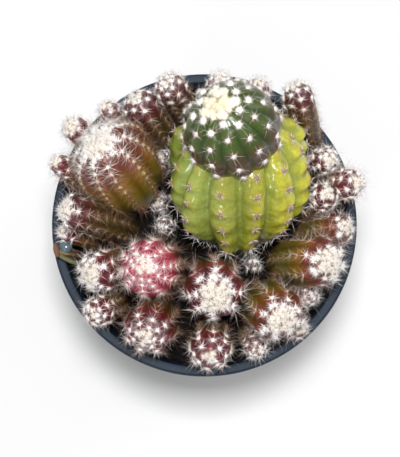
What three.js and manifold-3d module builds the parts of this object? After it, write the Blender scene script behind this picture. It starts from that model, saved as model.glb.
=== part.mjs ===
// A potted peanut cactus: a round nursery pot filled with soil, a squat main stem with a younger
// round head on its top, and a crowd of small spiny stems that lean out over the rim.
// Millimetres, +Z up. The origin is the middle of the pot's flat underside.
import * as THREE from 'three';
import { mergeVertices } from 'three/addons/utils/BufferGeometryUtils.js';
import Module from 'manifold-3d';

const wasm = await Module();
wasm.setup();

const clearance = 0.3;

const pot = {
  height: 88,
  rimRadius: 50,
  footRadius: 36,
  shoulderRadius: 47.6,
  lipHeight: 9,
  lipRounding: 0.9,
  wall: 1.4,
  floor: 2.2,
  holeRadius: 3.5,
  holeCircle: 23,
  holeCount: 6,
  holeSides: 12,
  segments: 48,
};
const wallSlope = (pot.shoulderRadius - pot.footRadius) / (pot.height - pot.lipHeight);
const innerRadius = (z) => pot.footRadius + wallSlope * z - pot.wall;

const soil = { top: 76, plantingDepth: 4, holeSides: 8 };

// Small stems. foot: x, y where the stem enters the soil; apex: x, y, z of its crown; radius: at
// its widest; neck: foot radius as a share of radius; rise: how high it climbs before it bends;
// swell: the share of its length by which it is full; each share has a default in plantedShape.
const smallStems = [
  // left side, from the back to the front
  { foot: [-6, 36.5], apex: [-12, 42, 108.5], radius: 5.0, neck: 0.5 },
  { foot: [-14, 27.5], apex: [-22, 37, 107], radius: 6.0, neck: 0.5 },
  { foot: [-26, 29.5], apex: [-31.5, 36, 101], radius: 3.4 },
  { foot: [-33.8, 24.4], apex: [-43, 29.2, 105.5], radius: 4.0, neck: 0.5, rise: 0.6 },
  { foot: [-23.5, 12], apex: [-32.9, 22.4, 116], radius: 12.2, neck: 0.4, rise: 0.62, swell: 0.62 },
  { foot: [-37, 11.5], apex: [-47.5, 18, 103], radius: 3.4, rise: 0.6 },
  { foot: [-26.5, -0.6], apex: [-44.4, 2.4, 103.5], radius: 5.8, neck: 0.5 },
  { foot: [-37, -5], apex: [-46, -4, 94], radius: 3.0 },
  { foot: [-28, -13.4], apex: [-36, -18.4, 104], radius: 6.1, neck: 0.5 },
  { foot: [-29, -26.2], apex: [-35.4, -30.4, 99], radius: 4.5 },
  // front
  { foot: [-14.6, -15], apex: [-19, -17.2, 113], radius: 8.8, neck: 0.45, colour: 0xb8405c },
  { foot: [-15.8, -31], apex: [-18.3, -37.6, 106], radius: 7.8, neck: 0.5 },
  { foot: [2.5, -36], apex: [1.5, -44, 103], radius: 6.2, neck: 0.5 },
  { foot: [3, -19.2], apex: [3, -25.8, 113], radius: 9.0, neck: 0.45 },
  { foot: [14.5, -36], apex: [17, -42, 96], radius: 3.6 },
  { foot: [19.5, -25.2], apex: [24.6, -33.4, 111], radius: 8.1, neck: 0.45 },
  { foot: [27.5, -31.5], apex: [30.5, -36, 98], radius: 3.0, rise: 0.7 },
  // right side, from the front to the back
  { foot: [31.5, -22], apex: [33.5, -25, 95], radius: 3.6 },
  { foot: [27.5, -12.6], apex: [39.6, -15, 109.5], radius: 7.8, neck: 0.5 },
  { foot: [33.5, -3.5], apex: [45, -3.2, 102], radius: 5.0, neck: 0.45 },
  { foot: [35, 4.2], apex: [38.5, 7.2, 106], radius: 4.0, neck: 0.5 },
  { foot: [40, 11.4], apex: [47.8, 10, 108], radius: 4.5, neck: 0.45, rise: 0.65 },
  { foot: [35.5, 19], apex: [39.5, 18.5, 103], radius: 4.0, neck: 0.5 },
  { foot: [34.6, 25], apex: [28.1, 40.6, 110.5], radius: 4.7, neck: 0.5, rise: 0.62 },
  // behind the main stem
  { foot: [16.5, 36.5], apex: [17.5, 43.8, 101], radius: 3.7 },
  { foot: [4.5, 38.5], apex: [5, 45.5, 101], radius: 3.8 },
  // pups in the gaps round the main stem
  { foot: [-13, 20.5], apex: [-13.5, 21.5, 91], radius: 2.4, neck: 0.7 },
  { foot: [-14, 7], apex: [-15.5, 6.5, 90], radius: 2.8 },
  { foot: [-11.5, -1], apex: [-13.5, -0.5, 89], radius: 3.0 },
  { foot: [15.5, -13.5], apex: [16.2, -13.5, 88], radius: 2.6 },
];

const mainStem = {
  foot: [10.5, -3],
  apex: [11.2, 29, 119.5],
  radius: 23.4,
  neck: 0.26,
  rise: 0.31,
  swell: 0.59,
  crown: 0.96,
  ribs: 12,
  rings: [6, 7],
  // Places where the stem bulges: degrees round its axis from the left over the front, share of
  // the way to the top, how far it stands out, and its half width in degrees and as a share.
  lobes: [
    { angle: 204, along: 0.87, out: 3.4, wide: 18, tall: 0.1 },
    { angle: -22, along: 0.82, out: 2.2, wide: 20, tall: 0.11 },
    { angle: 150, along: 0.45, out: 1.2, wide: 20, tall: 0.14 },
    { angle: 88, along: 0.33, out: 3.6, wide: 20, tall: 0.12 },
    { angle: 42, along: 0.43, out: 2.4, wide: 20, tall: 0.14 },
  ],
  needles: { rows: [0.42, 0.56, 0.7], perRow: 12, length: 2.6 },
  colour: 0x9aa832,
};

const mainHead = {
  centre: [8.1, 23.2, 124.2],
  direction: [-0.14, 0.38, 0.91],
  radius: 15.0,
  halfHeight: 15.1,
  ribs: 12,
  rings: [5, 6],
  needles: { rows: [0.55, 0.75, 0.9, 0.97], perRow: 8, length: 3.4 },
  colour: 0x44522f,
};

const witheredStem = {
  foot: [-40.5, -10.5],
  apex: [-46.5, -10, 93],
  radius: 2.0,
  neck: 0.7,
  rise: 0.7,
  ribs: 5,
  rings: [4, 3],
  beadRadius: 1.4,
  colour: 0x6b5a3a,
};

// How a small stem is built, by its size: ribs, rings along the body and round the crown, and the
// rows of needles as shares of the stem's length.
const wideStem = { above: 5, ribs: 8, rings: [4, 4], rows: [0.5, 0.66, 0.8, 0.91, 0.975], perRow: 5 };
const slimStem = { ribs: 6, rings: [3, 3], rows: [0.6, 0.82, 0.96], perRow: 4 };

// A needle starts at rootShare of the stem's radius, below the lowest crest, and is sunk deeper.
const needle = {
  rootRadius: 0.32,
  rootShare: 0.93,
  sunk: 0.6,
  sides: 3,
  room: 0.5,
  apart: 1.3,
  scatter: 0.5,
};

// ---------------------------------------------------------------- solids

// A manifold solid from a closed geometry, with shared vertices merged and empty faces dropped.
function solidOf(geometry) {
  const bare = geometry.clone();
  bare.deleteAttribute('normal');
  bare.deleteAttribute('uv');
  const merged = mergeVertices(bare, 1e-4);
  const triangles = [];
  const index = merged.index.array;
  for (let i = 0; i < index.length; i += 3) {
    const [a, b, c] = [index[i], index[i + 1], index[i + 2]];
    if (a !== b && b !== c && c !== a) triangles.push(a, b, c);
  }
  const vertProperties = new Float32Array(merged.attributes.position.array);
  const triVerts = new Uint32Array(triangles);
  return new wasm.Manifold(new wasm.Mesh({ numProp: 3, vertProperties, triVerts }));
}

function geometryOf(solid) {
  const mesh = solid.getMesh();
  const geometry = new THREE.BufferGeometry();
  geometry.setAttribute('position', new THREE.BufferAttribute(mesh.vertProperties, 3));
  geometry.setIndex(new THREE.BufferAttribute(mesh.triVerts, 1));
  geometry.computeVertexNormals();
  return geometry;
}

function lathe(profile, segments) {
  const points = profile.map(([radius, height]) => new THREE.Vector2(radius, height));
  return new THREE.LatheGeometry(points, segments).rotateX(Math.PI / 2);
}

// An upright cylinder whose flats, not its corners, stand at the given radius.
function shaft(x, y, bottom, top, radius, sides) {
  const across = radius / Math.cos(Math.PI / sides);
  const geometry = new THREE.CylinderGeometry(across, across, top - bottom, sides);
  return geometry.rotateX(Math.PI / 2).translate(x, y, (top + bottom) / 2);
}

// ---------------------------------------------------------------- stems

const smooth = (from, to, value) => THREE.MathUtils.smoothstep(value, from, to);

// The axis of a planted stem, which leaves the soil upright and bends towards its apex, and the
// radius along it: a narrow foot that swells to the full radius and closes in a round crown.
function plantedShape(spec) {
  const { radius, neck = 0.6, rise = 0.5, swell = 0.5, crown = 0.95 } = spec;
  const start = new THREE.Vector3(...spec.foot, soil.top - soil.plantingDepth);
  const end = new THREE.Vector3(...spec.apex);
  const bend = start.clone();
  bend.z += rise * (end.z - start.z);
  const curve = new THREE.QuadraticBezierCurve3(start, bend, end);
  const crownStart = 1 - (crown * radius) / curve.getLength();
  const radiusAt = (u) => {
    const body = radius * (neck + (1 - neck) * smooth(0, swell, u));
    const inCrown = Math.max(0, (u - crownStart) / (1 - crownStart));
    return body * Math.sqrt(Math.max(0, 1 - inCrown * inCrown));
  };
  const lean = end.clone().sub(start).setZ(0).normalize();
  return { curve, crownStart, radiusAt, side: new THREE.Vector3(-lean.y, lean.x, 0) };
}

// The head is a full ball on a straight axis.
function headShape(spec) {
  const centre = new THREE.Vector3(...spec.centre);
  const reach = new THREE.Vector3(...spec.direction).normalize().multiplyScalar(spec.halfHeight);
  const curve = new THREE.LineCurve3(centre.clone().sub(reach), centre.clone().add(reach));
  const radiusAt = (u) => spec.radius * Math.sqrt(Math.max(0, 1 - (2 * u - 1) ** 2));
  const side = new THREE.Vector3(0, 0, 1).cross(reach).normalize();
  return { curve, crownStart: 0.5, radiusAt, side };
}

function frameAt(shape, u) {
  const tangent = shape.curve.getTangentAt(u).normalize();
  const up = tangent.clone().cross(shape.side).normalize();
  const across = up.clone().cross(tangent);
  return { centre: shape.curve.getPointAt(u), across, up };
}

function outward({ across, up }, angle) {
  return across.clone().multiplyScalar(Math.cos(angle)).addScaledVector(up, Math.sin(angle));
}

// Stations along the axis: even along the body, then at even angles round the crown.
function stationsOf(shape, [bodyRings, crownRings]) {
  const body = Array.from({ length: bodyRings }, (_, i) => (shape.crownStart * i) / bodyRings);
  const crown = Array.from({ length: crownRings }, (_, i) => {
    const turn = (Math.PI / 2) * (i / crownRings);
    return shape.crownStart + (1 - shape.crownStart) * Math.sin(turn);
  });
  return [...body, ...crown];
}

// How far the stem's lobes push its skin out at an angle round it and a share of the way up.
function bulge(lobes, angle, u) {
  return lobes.reduce((sum, { angle: middle, along, out, wide, tall }) => {
    const aside = (((THREE.MathUtils.radToDeg(angle) - middle + 540) % 360) - 180) / wide;
    return sum + out * Math.exp(-(aside ** 2) - ((u - along) / tall) ** 2);
  }, 0);
}

// Ribs run along the stem, with furrows between them, and swell into a knob at each areole.
// relief(phase, ring) gives the radius as a share of the full one: phase is 0 on a rib's crest
// and 0.5 in the furrow.
function ribbedGeometry(shape, ribs, samplesPerRib, stations, relief, lobes = []) {
  const around = ribs * samplesPerRib;
  const points = [];
  stations.forEach((u, ring) => {
    const frame = frameAt(shape, u);
    const radius = shape.radiusAt(u);
    for (let k = 0; k < around; k += 1) {
      const phase = (k % samplesPerRib) / samplesPerRib;
      const angle = (2 * Math.PI * k) / around;
      const reach = radius * relief(phase, ring) + bulge(lobes, angle, u);
      points.push(frame.centre.clone().addScaledVector(outward(frame, angle), reach));
    }
  });
  const footCentre = points.push(shape.curve.getPointAt(stations[0])) - 1;
  const tip = points.push(shape.curve.getPointAt(1)) - 1;
  const triangles = [];
  for (let k = 0; k < around; k += 1) {
    const next = (k + 1) % around;
    triangles.push(footCentre, next, k);
    for (let ring = 0; ring < stations.length - 1; ring += 1) {
      const low = ring * around;
      const high = low + around;
      triangles.push(low + k, low + next, high + next, low + k, high + next, high + k);
    }
    const last = (stations.length - 1) * around;
    triangles.push(last + k, last + next, tip);
  }
  const geometry = new THREE.BufferGeometry().setFromPoints(points);
  geometry.setIndex(triangles);
  return geometry;
}

// ---------------------------------------------------------------- needles

// A small seeded generator, so that every run places the needles alike.
function seededRandom(seed) {
  let state = seed;
  return () => {
    state = (state * 1664525 + 1013904223) % 4294967296;
    return state / 4294967296;
  };
}

// Points along every stem's axis with the stem's radius there, and points along every needle set
// so far: what a new needle has to stay clear of.
const stemSpheres = [];
const needlePoints = [];

function recordShape(owner, shape) {
  const steps = 24;
  for (let i = 0; i <= steps; i += 1) {
    const u = i / steps;
    stemSpheres.push({ owner, centre: shape.curve.getPointAt(u), radius: shape.radiusAt(u) });
  }
}

// Above the rim a needle is free; below it, it stays off the wall and the soil.
function clearOfPot(point) {
  if (point.z > pot.height + needle.room) return true;
  const radius = Math.hypot(point.x, point.y);
  return point.z > soil.top + 2 * needle.room && radius < innerRadius(point.z) - 2 * needle.room;
}

function hasRoom(owner, root, tip) {
  const samples = [0.25, 0.5, 0.75, 1].map((share) => root.clone().lerp(tip, share));
  const clear = samples.every((point) => clearOfPot(point)
    && stemSpheres.every((s) => s.owner === owner || s.centre.distanceTo(point) > s.radius + needle.room)
    && needlePoints.every((n) => n.owner === owner || n.point.distanceTo(point) > needle.apart));
  if (clear) samples.forEach((point) => needlePoints.push({ owner, point }));
  return clear;
}

function needleGeometry(root, tip) {
  const direction = tip.clone().sub(root);
  const length = direction.length() + needle.sunk;
  const cone = new THREE.ConeGeometry(needle.rootRadius, length, needle.sides, 1);
  cone.translate(0, length / 2 - needle.sunk, 0);
  const turn = new THREE.Quaternion().setFromUnitVectors(new THREE.Vector3(0, 1, 0), direction.normalize());
  return cone.applyQuaternion(turn).translate(root.x, root.y, root.z);
}

// Needles leave the rib crests at rows of areoles. Each points out from the stem and up towards
// the crown, turned a little at random, and is shortened or left out where a neighbour is close.
function needlesOn(owner, shape, ribs, { rows, perRow, length }, random) {
  const needles = [];
  const scatter = () => 2 * needle.scatter * (random() - 0.5);
  rows.forEach((u, row) => {
    const frame = frameAt(shape, u);
    const tangent = shape.curve.getTangentAt(u);
    const crownward = 0.25 + 1.6 * u ** 4;
    for (let k = 0; k < perRow; k += 1) {
      const rib = Math.round(((k + 0.5 * (row % 2)) * ribs) / perRow) % ribs;
      const out = outward(frame, (2 * Math.PI * rib) / ribs);
      const root = frame.centre.clone().addScaledVector(out, shape.radiusAt(u) * needle.rootShare);
      const aim = out.clone().addScaledVector(tangent, crownward);
      aim.add(new THREE.Vector3(scatter(), scatter(), scatter())).normalize();
      const full = length * (0.8 + 0.4 * random());
      const tips = [1, 0.7, 0.5].map((share) => root.clone().addScaledVector(aim, full * share));
      const tip = tips.find((candidate) => hasRoom(owner, root, candidate));
      if (tip) needles.push(needleGeometry(root, tip));
    }
  });
  return needles;
}

function fuse(body, needles) {
  return needles.reduce((solid, geometry) => solid.add(solidOf(geometry)), body);
}

// ---------------------------------------------------------------- pieces

function buildPot() {
  const { height, rimRadius, footRadius, shoulderRadius, lipHeight, lipRounding, floor } = pot;
  const shoulder = height - lipHeight;
  const mouth = innerRadius(height);
  const body = lathe([
    [0, 0],
    [footRadius, 0],
    [shoulderRadius, shoulder],
    [rimRadius - lipRounding / 2, shoulder],
    [rimRadius, height - lipRounding],
    [rimRadius - lipRounding, height],
    [mouth + lipRounding / 2, height],
    [mouth, height - lipRounding],
    [innerRadius(floor), floor],
    [0, floor],
  ], pot.segments);
  let solid = solidOf(body);
  for (let i = 0; i < pot.holeCount; i += 1) {
    const angle = (2 * Math.PI * i) / pot.holeCount;
    const [x, y] = [pot.holeCircle * Math.cos(angle), pot.holeCircle * Math.sin(angle)];
    solid = solid.subtract(solidOf(shaft(x, y, -1, floor + 1, pot.holeRadius, pot.holeSides)));
  }
  return solid;
}

// The soil fills the pot to below its rim. Each stem stands in a plain blind hole.
function buildSoil(planted) {
  const bottom = pot.floor + clearance;
  const edge = (z) => [innerRadius(z) - clearance, z];
  const body = lathe([[0, bottom], edge(bottom), edge(soil.top), [0, soil.top]], pot.segments);
  const floorOfHoles = soil.top - soil.plantingDepth - clearance;
  return planted.reduce((solid, { shape }) => {
    const share = soil.plantingDepth / shape.curve.getLength();
    const { x, y } = shape.curve.getPointAt(share / 2);
    const atSoil = shape.curve.getPointAt(share);
    const radius = shape.radiusAt(1.5 * share) + Math.hypot(atSoil.x - x, atSoil.y - y) + 1.5 * clearance;
    return solid.subtract(solidOf(shaft(x, y, floorOfHoles, soil.top + 1, radius, soil.holeSides)));
  }, solidOf(body));
}

// Every second ring is a row of areoles, where the crest stands at its full radius.
const knob = (ring, depth) => 1 - depth * (1 - (ring % 2));
const smallRelief = (phase, ring) => (phase === 0 ? knob(ring, 0.06) : 0.84);
const headRelief = (phase, ring) => (phase === 0 ? knob(ring, 0.045) : 0.92);
const mainRelief = (phase, ring) => {
  if (phase === 0.5) return 0.83;
  return knob(ring, 0.06) - (phase === 0 ? 0 : 0.035);
};
const witheredRelief = (phase) => (phase === 0 ? 1 : 0.7);

function buildSmallStem({ name, spec, shape }, random) {
  const build = spec.radius > wideStem.above ? wideStem : slimStem;
  const body = solidOf(ribbedGeometry(shape, build.ribs, 2, stationsOf(shape, build.rings), smallRelief));
  const length = 2.6 + 0.16 * spec.radius;
  return fuse(body, needlesOn(name, shape, build.ribs, { ...build, length }, random));
}

// The main stem's top is hollowed to a bed that the head sits in.
function buildMainStem(random) {
  const { ribs, rings, needles, lobes } = mainStem;
  const stations = stationsOf(mainStemShape, rings);
  const body = solidOf(ribbedGeometry(mainStemShape, ribs, 4, stations, mainRelief, lobes));
  const { radius, halfHeight } = mainHead;
  const bedGap = 1.5 * clearance;
  const bedShape = headShape({ ...mainHead, radius: radius + bedGap, halfHeight: halfHeight + bedGap });
  const bed = solidOf(ribbedGeometry(bedShape, 36, 1, stationsOf(bedShape, [8, 8]).slice(1), () => 1));
  return fuse(body.subtract(bed), needlesOn('main_stem', mainStemShape, ribs, needles, random));
}

function buildMainHead(random) {
  const { ribs, rings, needles } = mainHead;
  const stations = stationsOf(mainHeadShape, rings).slice(1);
  const body = solidOf(ribbedGeometry(mainHeadShape, ribs, 2, stations, headRelief));
  return fuse(body, needlesOn('main_head', mainHeadShape, ribs, needles, random));
}

// A shrivelled pup at the pot's edge, with the bead of its dried bud at the top.
function buildWitheredStem({ spec, shape }) {
  const stations = stationsOf(shape, spec.rings);
  const body = solidOf(ribbedGeometry(shape, spec.ribs, 2, stations, witheredRelief));
  const bead = new THREE.SphereGeometry(spec.beadRadius, 8, 6).translate(...spec.apex);
  return body.add(solidOf(bead));
}

// ---------------------------------------------------------------- the plant in its pot

const group = new THREE.Group();

function place(name, solid, colour, roughness) {
  const material = new THREE.MeshStandardMaterial({ color: colour, roughness, metalness: 0 });
  const mesh = new THREE.Mesh(geometryOf(solid), material);
  mesh.name = name;
  group.add(mesh);
}

const mainStemShape = plantedShape(mainStem);
const mainHeadShape = headShape(mainHead);
const planted = smallStems.map((spec, i) => ({
  name: `stem_${String(i + 1).padStart(2, '0')}`,
  spec,
  shape: plantedShape(spec),
}));
const withered = { name: 'withered_stem', spec: witheredStem, shape: plantedShape(witheredStem) };
planted.forEach(({ name, shape }) => recordShape(name, shape));
recordShape(withered.name, withered.shape);
recordShape('main_stem', mainStemShape);
recordShape('main_head', mainHeadShape);

const maroon = 0x7a3a34;
const random = seededRandom(7);

place('pot', buildPot(), 0x414c5a, 0.45);
place('soil', buildSoil([...planted, withered, { shape: mainStemShape }]), 0x1c1714, 0.95);
place('main_head', buildMainHead(random), mainHead.colour, 0.4);
place('main_stem', buildMainStem(random), mainStem.colour, 0.35);
planted.forEach(({ name, spec, shape }) => {
  place(name, buildSmallStem({ name, spec, shape }, random), spec.colour ?? maroon, 0.4);
});
place(withered.name, buildWitheredStem(withered), witheredStem.colour, 0.7);

export default group;
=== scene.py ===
from math import cos, pi, radians, sin, tau

import bpy
import numpy as np
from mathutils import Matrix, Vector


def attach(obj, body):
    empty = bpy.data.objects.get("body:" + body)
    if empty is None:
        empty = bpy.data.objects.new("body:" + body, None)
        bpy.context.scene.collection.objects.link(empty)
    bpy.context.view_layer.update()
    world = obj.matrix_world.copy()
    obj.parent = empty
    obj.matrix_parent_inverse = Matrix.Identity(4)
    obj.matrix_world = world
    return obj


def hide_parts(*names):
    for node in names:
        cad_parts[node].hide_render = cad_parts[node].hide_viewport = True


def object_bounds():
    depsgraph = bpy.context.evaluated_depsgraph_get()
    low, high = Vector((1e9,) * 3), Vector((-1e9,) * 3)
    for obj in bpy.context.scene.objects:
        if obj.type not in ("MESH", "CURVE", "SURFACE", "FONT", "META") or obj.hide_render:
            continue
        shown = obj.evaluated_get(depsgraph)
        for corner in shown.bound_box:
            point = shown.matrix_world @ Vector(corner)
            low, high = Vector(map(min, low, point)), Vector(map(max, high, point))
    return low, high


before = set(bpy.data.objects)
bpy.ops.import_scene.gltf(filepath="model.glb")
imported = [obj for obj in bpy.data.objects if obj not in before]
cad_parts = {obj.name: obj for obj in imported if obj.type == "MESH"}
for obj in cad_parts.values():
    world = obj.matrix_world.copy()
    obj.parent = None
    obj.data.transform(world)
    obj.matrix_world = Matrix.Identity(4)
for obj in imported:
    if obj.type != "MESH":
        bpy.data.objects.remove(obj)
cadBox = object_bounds()
print("model loaded")

mm = 0.001


# Turns an sRGB hex colour to linear.
def toLinear(hexColour):
    channels = [int(hexColour[i:i + 2], 16) / 255 for i in (1, 3, 5)]
    return (*[c / 12.92 if c <= 0.04045 else ((c + 0.055) / 1.055) ** 2.4 for c in channels], 1)


# Eases from 0 at low to 1 at high.
def smooth(low, high, x):
    t = np.clip((x - low) / (high - low), 0, 1)
    return t * t * (3 - 2 * t)


def unit(v):
    return v / np.maximum(np.linalg.norm(v, axis=-1, keepdims=True), 1e-9)


# Adds a node with its settings and links.
def addNode(tree, kind, settings=None, links=None):
    node = tree.nodes.new(kind)
    for key, value in (settings or {}).items():
        if isinstance(key, int) or key in node.inputs:
            node.inputs[key].default_value = value
        else:
            setattr(node, key, value)
    for key, socket in (links or {}).items():
        tree.links.new(socket, node.inputs[key])
    return node


def setRamp(ramp, stops):
    elements = ramp.color_ramp.elements
    while len(elements) < len(stops):
        elements.new(1)
    for element, (place, colour) in zip(elements, stops):
        element.position = place
        element.color = toLinear(colour)
    return ramp.outputs["Color"]


def newMaterial(name, settings):
    material = bpy.data.materials.new(name)
    material.use_nodes = True
    shader = material.node_tree.nodes["Principled BSDF"]
    for key, value in settings.items():
        shader.inputs[key].default_value = value
    return material, material.node_tree, shader


# Gives a piece its material and shading and its body, and hides the part's node that it stands for.
def finishPiece(piece, material, stands=None, smoothAngle=None):
    mesh = piece.data
    mesh.materials.clear()
    mesh.materials.append(material)
    bpy.ops.object.select_all(action="DESELECT")
    piece.select_set(True)
    bpy.context.view_layer.objects.active = piece
    if smoothAngle:
        bpy.ops.object.shade_smooth_by_angle(angle=radians(smoothAngle))
    else:
        bpy.ops.object.shade_smooth()
    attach(piece, "root")
    if stands:
        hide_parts(stands)


# Living cactus skin: waxy and slightly translucent, so soft lights give small wet glints and the
# colour glows a little at thin edges. tone holds ripeness (on the green stock also painted light and
# shade), rib height, whose valleys are painted darker as shade, and nearness to an areole.
def fleshMaterial(name, colours, furrow, felt, gloss=0.44, coat=0.18, coatRough=0.16,
                  grain=0.25, ripple=0.0, mottle=0.13):
    material, tree, shader = newMaterial(name, {
        "Roughness": gloss, "IOR": 1.42, "Coat Weight": coat, "Coat Roughness": coatRough,
        "Subsurface Weight": 0.16, "Subsurface Radius": (1.0, 0.45, 0.25), "Subsurface Scale": 1.6 * mm,
    })
    place = addNode(tree, "ShaderNodeTexCoord").outputs["Object"]
    tone = addNode(tree, "ShaderNodeAttribute", {"attribute_name": "tone"})
    parts = addNode(tree, "ShaderNodeSeparateColor", {}, {"Color": tone.outputs["Color"]})
    patches = addNode(tree, "ShaderNodeTexNoise", {"Scale": 1 / (4 * mm), "Detail": 3.0}, {"Vector": place})
    drift = addNode(tree, "ShaderNodeMapRange", {"From Min": 0.3, "From Max": 0.7, "To Min": -mottle,
                                                 "To Max": mottle}, {"Value": patches.outputs["Fac"]})
    # the ramp's share from tone: ripeness, and on the green stock painted light and shade as well
    ripenessAndPaintedLight = addNode(tree, "ShaderNodeMath", {"operation": "ADD", "use_clamp": True},
                       {0: parts.outputs["Red"], 1: drift.outputs["Result"]})
    ramp = addNode(tree, "ShaderNodeValToRGB", {}, {"Fac": ripenessAndPaintedLight.outputs["Value"]})
    skin = setRamp(ramp, colours)
    # the rib valleys take the darker furrow colour: painted shade in the creases
    depth = addNode(tree, "ShaderNodeMapRange", {"From Min": 0.0, "From Max": 0.75, "To Min": 0.75,
                                                 "To Max": 0.0}, {"Value": parts.outputs["Green"]})
    shaded = addNode(tree, "ShaderNodeMix", {"data_type": "RGBA", 7: toLinear(furrow)},
                     {0: depth.outputs["Result"], 6: skin})
    ringed = addNode(tree, "ShaderNodeMix", {"data_type": "RGBA", 7: toLinear(felt)},
                     {0: parts.outputs["Blue"], 6: shaded.outputs[2]})
    # breathing pores, drawn about 0.9 mm apart, coarser than real ones, so that they show
    pores = addNode(tree, "ShaderNodeTexNoise", {"Scale": 1 / (0.9 * mm), "Detail": 2.0}, {"Vector": place})
    speckle = addNode(tree, "ShaderNodeMapRange", {"From Min": 0.45, "From Max": 0.75, "To Min": 0.93,
                                                   "To Max": 1.12}, {"Value": pores.outputs["Fac"]})
    lit = addNode(tree, "ShaderNodeMix", {"data_type": "RGBA", "blend_type": "MULTIPLY", 0: 1.0},
                  {6: ringed.outputs[2], 7: speckle.outputs["Result"]})
    tree.links.new(lit.outputs[2], shader.inputs["Base Color"])
    swell = addNode(tree, "ShaderNodeBump", {"Strength": ripple, "Distance": 1.0 * mm},
                    {"Height": patches.outputs["Fac"]})
    bump = addNode(tree, "ShaderNodeBump", {"Strength": grain, "Distance": 0.12 * mm},
                   {"Height": pores.outputs["Fac"], "Normal": swell.outputs["Normal"]})
    tree.links.new(bump.outputs["Normal"], shader.inputs["Normal"])
    return material


# Spines and wool are dry plant fibre: matt and pale, and browner or yellower with age; low on the
# flanks the browner colour is also painted shade.
def fibreMaterial(name, young, old, rough):
    material, tree, shader = newMaterial(name, {"Roughness": rough, "Specular IOR Level": 0.35})
    tone = addNode(tree, "ShaderNodeAttribute", {"attribute_name": "tone"})
    parts = addNode(tree, "ShaderNodeSeparateColor", {}, {"Color": tone.outputs["Color"]})
    mix = addNode(tree, "ShaderNodeMix", {"data_type": "RGBA", 6: toLinear(young), 7: toLinear(old)},
                  {0: parts.outputs["Red"]})
    tree.links.new(mix.outputs[2], shader.inputs["Base Color"])
    return material


# ripeness runs from the foot's colour to the crown's; then the darker furrow colour, painted shade in the
# rib valleys, and the areoles' rim
flesh = {
    "maroon": fleshMaterial("glossy_maroon_cactus_skin",
                            [(0.0, "#6a5a1c"), (0.35, "#74441c"), (0.62, "#6e2626"), (0.9, "#60182e")],
                            "#34160c", "#8a4c42"),
    "olive": fleshMaterial("olive_bronze_cactus_skin",
                           [(0.0, "#66600e"), (0.42, "#855c14"), (0.68, "#743024"), (0.92, "#641a2c")],
                           "#44300a", "#8a6046"),
    "brown": fleshMaterial("shaded_brown_cactus_skin",
                           [(0.0, "#4e4018"), (0.4, "#56341a"), (0.7, "#58221d"), (0.92, "#5e1a26")],
                           "#20100c", "#7a564a"),
    "crimson": fleshMaterial("crimson_cactus_skin",
                             [(0.0, "#7a4a20"), (0.35, "#a8543e"), (0.7, "#b03c50"), (0.95, "#a01c40")],
                             "#661028", "#cc7a86"),
    "grey": fleshMaterial("grey_green_pup_skin", [(0.0, "#3c341c"), (0.5, "#54402c"), (0.9, "#643c36")],
                          "#16120c", "#6a6058"),
}
# the plump green skins are wetter to the eye: a clear coat and slow ripples catch small glints
greenFlesh = fleshMaterial("yellow_green_stock_skin",
                           [(0.0, "#56661e"), (0.33, "#8c9a44"), (0.66, "#82821c"), (1.0, "#c2bf30")],
                           "#6e7e38", "#ac8c38", gloss=0.28, coat=1.0, coatRough=0.12, grain=0.16,
                           ripple=1.1, mottle=0.12)
headFlesh = fleshMaterial("dark_green_head_skin",
                          [(0.0, "#44302e"), (0.3, "#48341e"), (0.6, "#3e3e14"), (1.0, "#38540e")],
                          "#122604", "#50342c", gloss=0.3, coat=0.4, coatRough=0.1, ripple=0.4)
spineFibre = fibreMaterial("dry_spine_fibre", "#fffcfa", "#94705c", 0.5)
woolFibre = fibreMaterial("cream_areole_wool", "#fcf8f4", "#ccb67e", 0.85)
crownFibre = fibreMaterial("yellow_crown_wool", "#faf4e4", "#d6c48e", 0.85)
headWool = fibreMaterial("grey_head_wool", "#f3eeea", "#b09c94", 0.85)
feltFibre = fibreMaterial("grey_areole_felt", "#a8978a", "#7c6458", 0.85)
print("materials ready")

soilLevel = 76 * mm
plantingDepth = 4 * mm
potInside = ([70, 80, 87, 90], [44.6, 46.0, 46.5, 80])  # heights in mm, and how far out flesh may reach
goldenAngle = 2.39996  # between neighbours in a sunflower, in radians
spareRoom = 0.025  # how far a piece may pass the part's outer box, as a share of the box's sides

# A body is an axis from foot to crown, a radius along it, and a form, which says how it is ribbed: the
# ribs, their turn, sway and wildness, how deep the furrow is cut and how broad the rib, how deep, sharp
# and ironed out the knobs are, how far down the ribs go flat, the pitch of the areoles, how much closer
# the young ones stand, how the first ones start and stagger, and an areole's radius.


# Joins the stations of an axis and their radii with the frame across them and the way to the crown.
def bodyTable(centres, radii, side, form, seed):
    tangents = unit(np.gradient(centres, axis=0))
    up = unit(np.cross(tangents, side))
    across = np.cross(up, tangents)
    steps = np.hypot(np.linalg.norm(np.diff(centres, axis=0), axis=1), np.diff(radii))
    meridian = np.concatenate([[0], np.cumsum(steps)])
    depths = np.linspace(0, meridian[-1], 1200)
    spacing = form["pitch"] * (form["young"] + (1 - form["young"]) * smooth(0, 1.3 * radii.max(), depths))
    count = np.concatenate([[0], np.cumsum(np.diff(depths) / spacing[1:])])
    shares = np.concatenate([[0], np.cumsum(np.linalg.norm(np.diff(centres, axis=0), axis=1))])
    return {"along": meridian / meridian[-1], "meridian": meridian[-1], "share": shares / shares[-1],
            "centres": centres, "up": up, "across": across, "radii": radii, "widest": radii.max(),
            "depths": depths, "count": count,
            "uneven": np.random.default_rng(seed).uniform(-1, 1, (form["ribs"], 5)), **form}


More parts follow.
